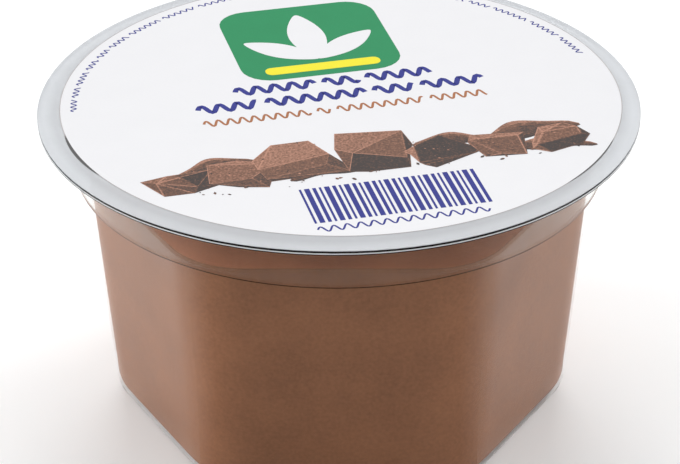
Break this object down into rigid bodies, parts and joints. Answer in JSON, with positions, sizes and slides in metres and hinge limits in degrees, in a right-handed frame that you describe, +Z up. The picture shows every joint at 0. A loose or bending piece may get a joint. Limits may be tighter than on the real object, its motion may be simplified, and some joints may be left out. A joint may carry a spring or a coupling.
{
  "type": "chocolate mousse pot",
  "caption": "Sealed clear dessert pot with a tapered hexagonal body and a round rim, filled with milk chocolate mousse and closed by a flat lid film.",
  "frame": {"origin": "middle of the pot's flat base, on the floor", "axes": "+Z up through the middle of the lid; one flat side of the hexagonal body faces -Y, and two of its upright corners lie on the X axis"},
  "size_m": [0.095, 0.095, 0.0516],
  "materials": {
    "clear_plastic": "clear thermoformed plastic, glossy",
    "milk_chocolate_mousse": "soft matt food foam, fine bubbles",
    "white_film": "printed lid film, satin gloss"
  },
  "bodies": {
    "root": {"cup": "clear_plastic", "mousse": "milk_chocolate_mousse", "lid_film": "white_film"}
  },
  "joints": []
}
